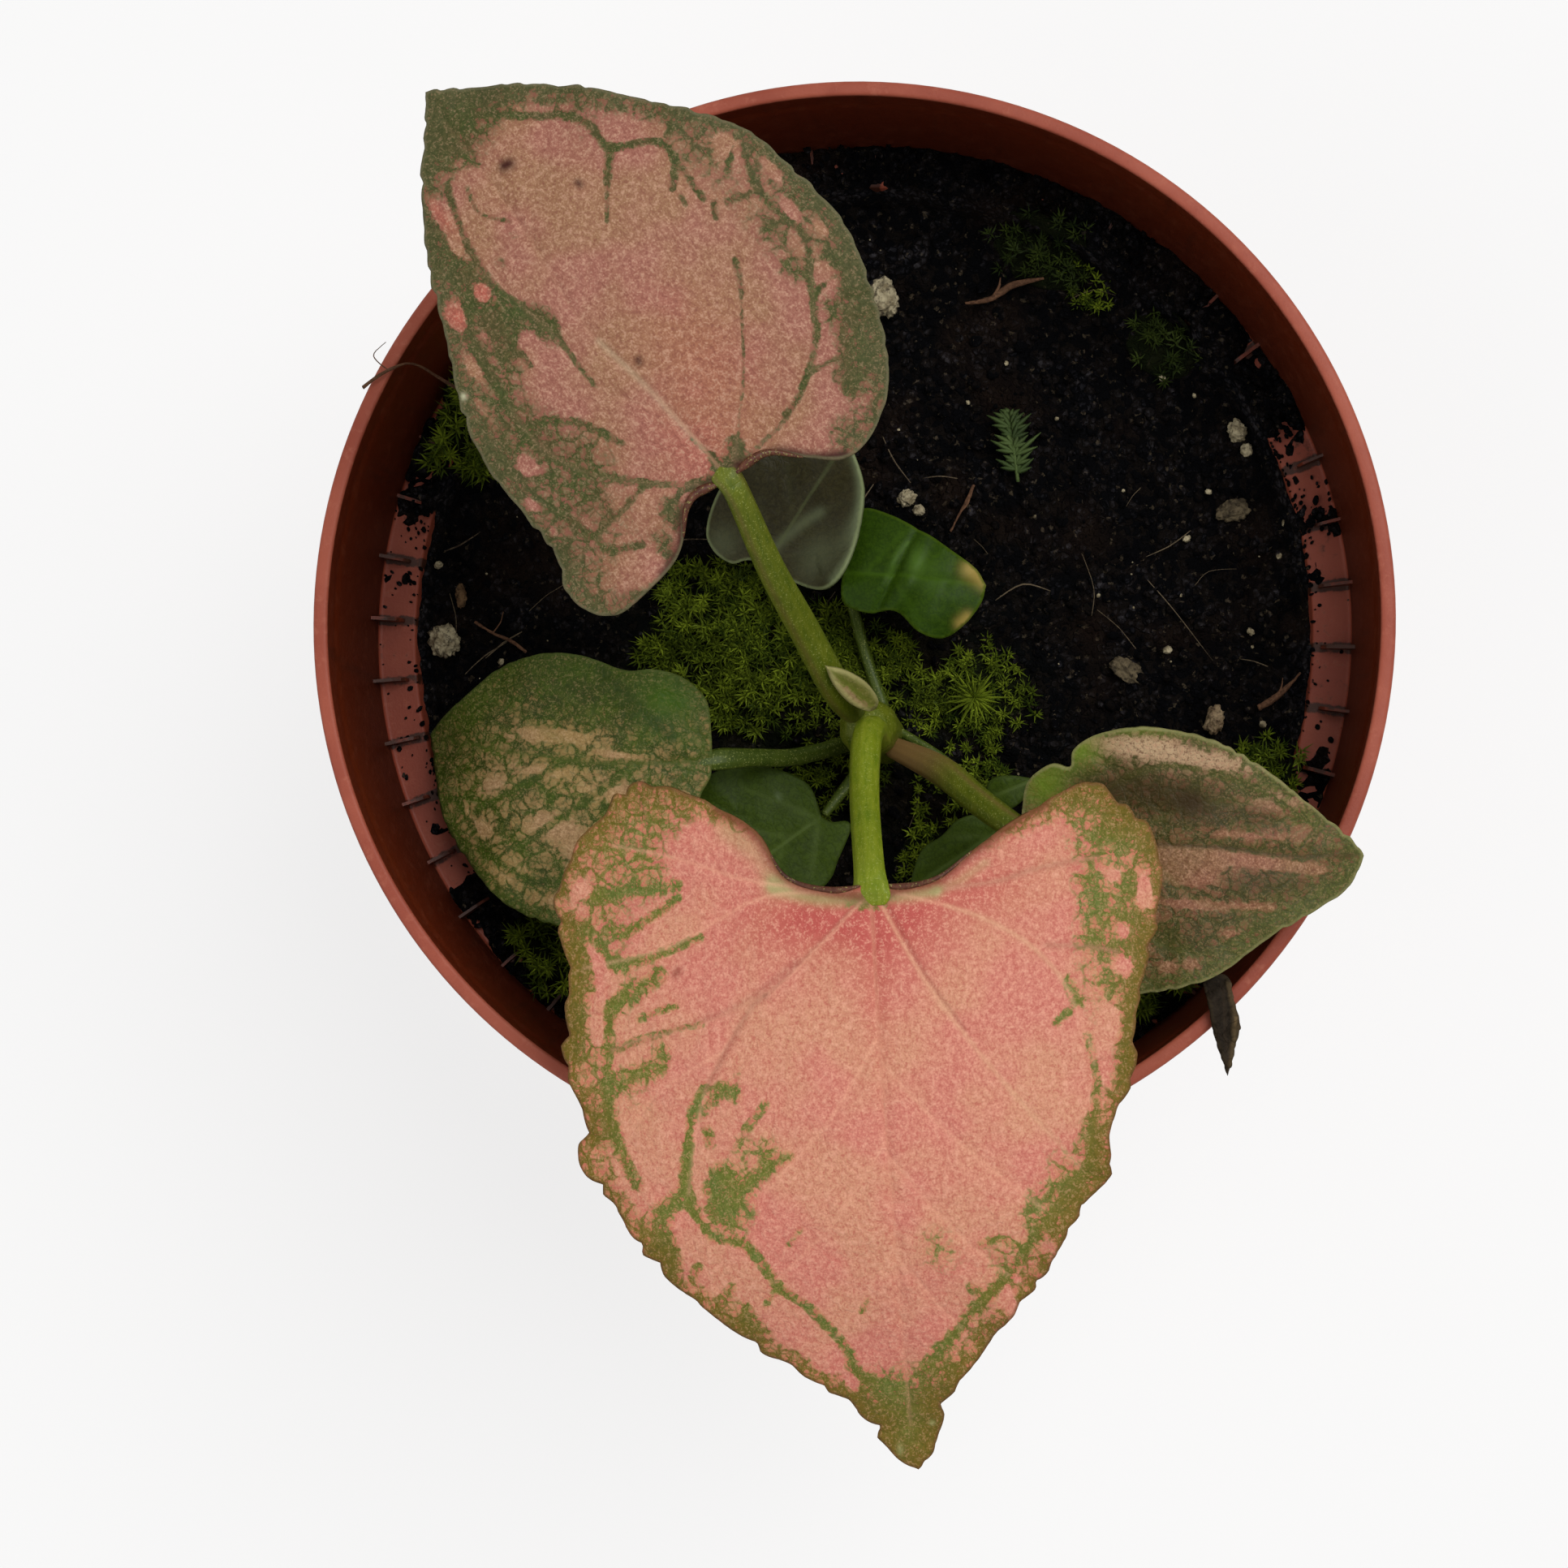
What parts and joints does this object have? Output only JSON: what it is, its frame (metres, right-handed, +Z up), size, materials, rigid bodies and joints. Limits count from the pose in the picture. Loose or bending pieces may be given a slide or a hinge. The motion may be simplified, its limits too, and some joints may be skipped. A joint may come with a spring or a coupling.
{
  "type": "potted syngonium",
  "caption": "Young arrowhead plant with pink and green heart-shaped leaves on slender stalks, in a round terracotta-coloured plastic nursery pot with moss and dark peat soil.",
  "frame": {"origin": "middle of the flat boss under the pot, on the surface that the pot stands on", "axes": "+Z up out of the pot; the largest leaf hangs over the rim towards -Y; +X to its right seen from there"},
  "size_m": [0.09, 0.1131, 0.1008],
  "materials": {
    "pot_plastic": "moulded terracotta-coloured polypropylene, satin",
    "peat_soil": "damp dark peat and fibre mix, rough",
    "pink_leaf": "matte leaf, salmon pink with green margin and veins",
    "green_leaf": "matte leaf, olive green with pink streaks",
    "dark_leaf": "smooth dark green leaf with a grey sheen",
    "bright_leaf": "glossy young leaf, bright green",
    "green_stalk": "smooth green petiole",
    "moss": "soft moss tufts",
    "pale_grain": "rough perlite and pebble",
    "dead_plant": "dry twig, bark and root"
  },
  "bodies": {
    "root": {"bark_chip_left": "dead_plant", "bark_chip_middle": "dead_plant", "bark_chip_right": "dead_plant", "crown_stem": "green_stalk", "curled_leaf_blade": "bright_leaf", "curled_leaf_stalk": "green_stalk", "dark_leaf_blade": "dark_leaf", "dark_leaf_stalk": "green_stalk", "front_leaf_blade": "pink_leaf", "front_leaf_stalk": "green_stalk", "left_leaf_blade": "green_leaf", "left_leaf_stalk": "green_stalk", "low_left_leaf_blade": "green_leaf", "low_left_leaf_stalk": "green_stalk", "low_right_leaf_blade": "dark_leaf", "low_right_leaf_stalk": "green_stalk", "moss_back": "moss", "moss_back_right": "moss", "moss_left_wall": "moss", "moss_low_left": "moss", "moss_low_right": "moss", "moss_lower": "moss", "moss_middle": "moss", "moss_right_wall": "moss", "moss_star": "moss", "pebble_back": "pale_grain", "pebble_left": "pale_grain", "pebble_right": "pale_grain", "perlite_middle": "pale_grain", "perlite_right": "pale_grain", "pot": "pot_plastic", "potting_soil": "peat_soil", "right_leaf_blade": "green_leaf", "right_leaf_stalk": "green_stalk", "root_back": "dead_plant", "root_middle": "dead_plant", "rootlet": "dead_plant", "seedling_sprig": "bright_leaf", "sheath_upper_left": "green_stalk", "tiny_leaf_blade": "bright_leaf", "tiny_leaf_stalk": "green_stalk", "twig_left": "dead_plant", "twig_right": "dead_plant", "upper_left_leaf_blade": "pink_leaf", "upper_left_leaf_stalk": "green_stalk", "withered_scrap": "dead_plant"}
  },
  "joints": []
}
